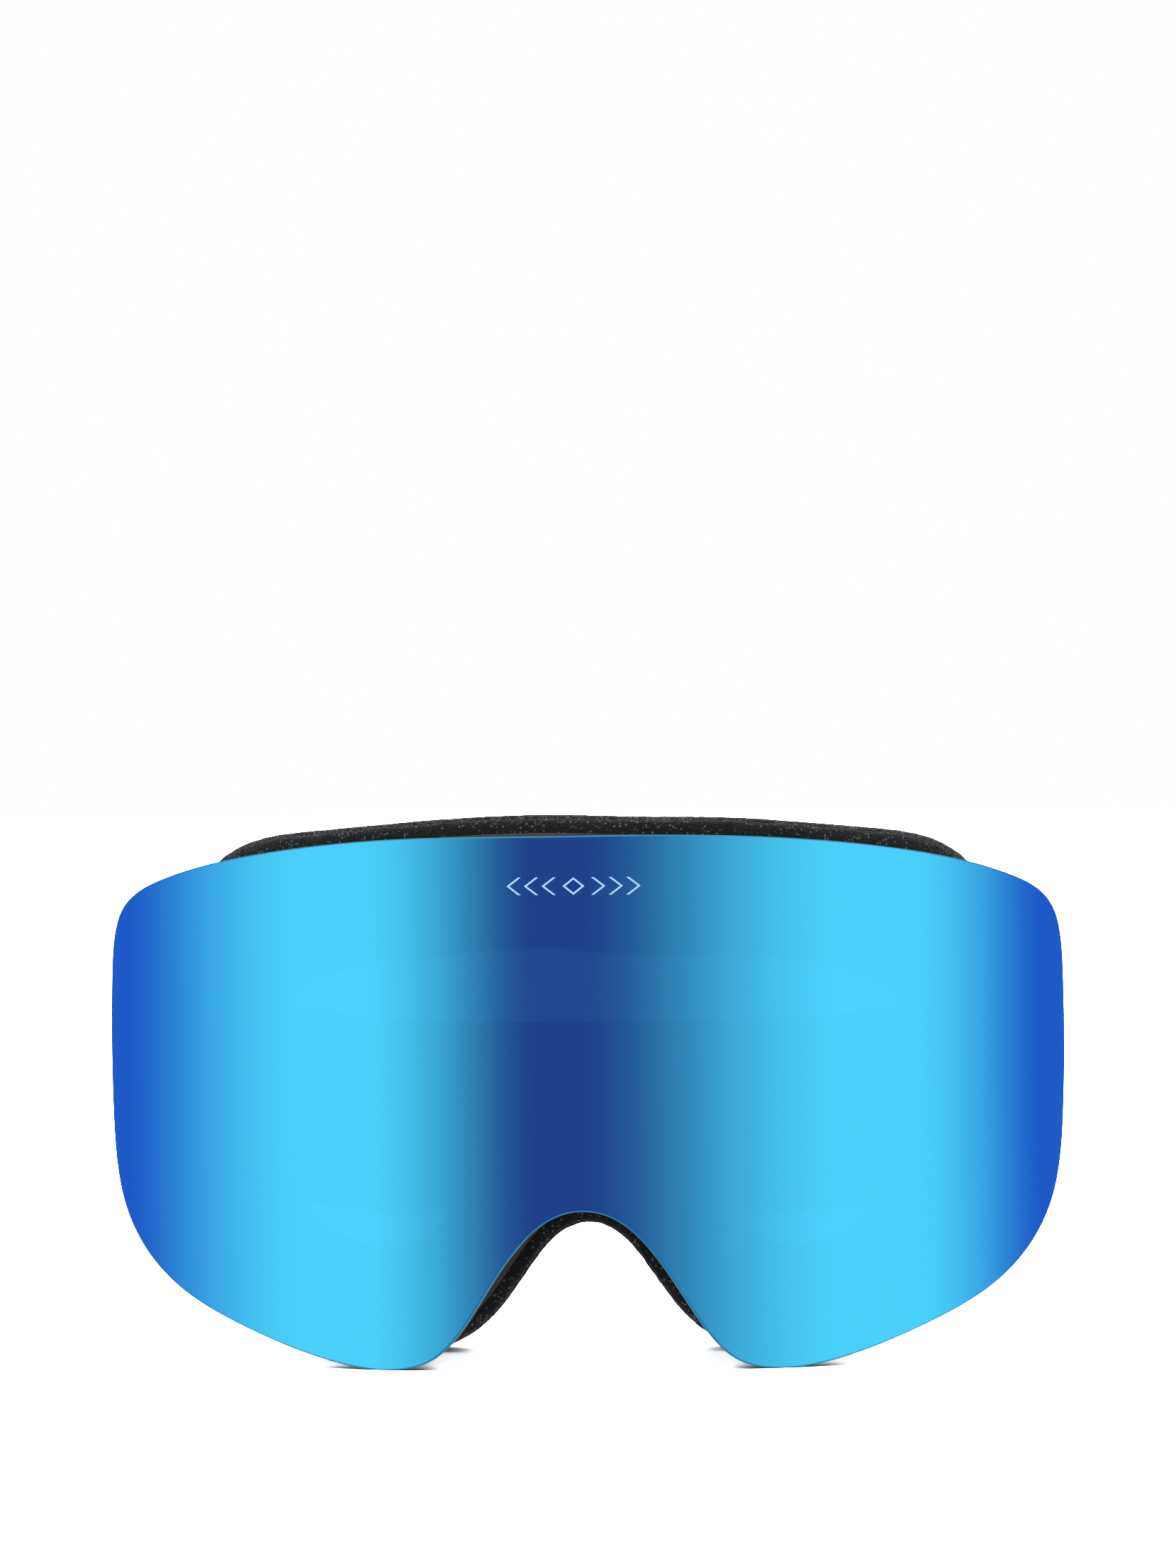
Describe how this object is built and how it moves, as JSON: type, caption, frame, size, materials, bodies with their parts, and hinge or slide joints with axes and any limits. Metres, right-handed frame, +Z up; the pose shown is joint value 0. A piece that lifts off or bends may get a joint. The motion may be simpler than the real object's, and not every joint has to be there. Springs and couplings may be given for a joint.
{
  "type": "ski goggles",
  "caption": "Frameless ski goggles with a mirrored cylindrical lens held by magnets, vented frame, layered face foam, hinged outriggers and an elastic strap.",
  "frame": {"origin": "on the ground under the middle of the overall box, which runs from the lens front to the back of the strap", "axes": "+X to the right as seen from in front, +Y from the lens towards the wearer and the strap, +Z up"},
  "size_m": [0.1783, 0.2118, 0.1004],
  "materials": {
    "lens_mirror": "polished",
    "lens_inner": "polished",
    "gasket": "matte",
    "carrier_plastic": "satin",
    "magnet": "satin",
    "frame_plastic": "matte",
    "face_rubber": "matte",
    "vent_foam": "matte",
    "face_foam": "matte",
    "fleece": "matte",
    "outrigger_plastic": "satin",
    "pin_steel": "satin",
    "webbing": "matte",
    "slider_plastic": "satin",
    "silicone": "satin"
  },
  "bodies": {
    "frame": {"frame_chassis": "frame_plastic", "chassis_magnets": "magnet", "face_frame": "face_rubber", "vent_foam_top": "vent_foam", "vent_foam_bottom": "vent_foam", "foam_base_layer": "face_foam", "foam_mid_layer": "face_foam", "fleece_layer": "fleece", "outrigger_pin_left": "pin_steel", "outrigger_pin_right": "pin_steel", "strap_rear": "webbing", "silicone_grip": "silicone"},
    "lens_module": {"outer_lens": "lens_mirror", "inner_lens": "lens_inner", "lens_spacer": "gasket", "lens_carrier": "carrier_plastic", "carrier_magnets": "magnet"},
    "outrigger_arm_left": {"outrigger_left": "outrigger_plastic", "strap_side_left": "webbing", "strap_tail_left": "webbing"},
    "outrigger_arm_right": {"outrigger_right": "outrigger_plastic", "strap_side_right": "webbing", "strap_tail_right": "webbing"},
    "strap_slider_left": {"slider_left": "slider_plastic"},
    "strap_slider_right": {"slider_right": "slider_plastic"}
  },
  "joints": [
    {"name": "lens_release", "type": "slide", "parent": "frame", "child": "lens_module", "axis": [0, -1, 0], "range_m": [0, 0.06]},
    {"name": "outrigger_hinge_left", "type": "hinge", "parent": "frame", "child": "outrigger_arm_left", "pos_m": [-0.084, -0.0399, 0.05], "axis": [0, 0, 1], "range_deg": [-6, 22]},
    {"name": "outrigger_hinge_right", "type": "hinge", "parent": "frame", "child": "outrigger_arm_right", "pos_m": [0.084, -0.0399, 0.05], "axis": [0, 0, -1], "range_deg": [-6, 22]},
    {"name": "slider_travel_left", "type": "slide", "parent": "outrigger_arm_left", "child": "strap_slider_left", "axis": [0, -1, 0], "range_m": [0, 0.028], "deforming": ["strap_tail_left"]},
    {"name": "slider_travel_right", "type": "slide", "parent": "outrigger_arm_right", "child": "strap_slider_right", "axis": [0, -1, 0], "range_m": [0, 0.028], "deforming": ["strap_tail_right"]}
  ]
}
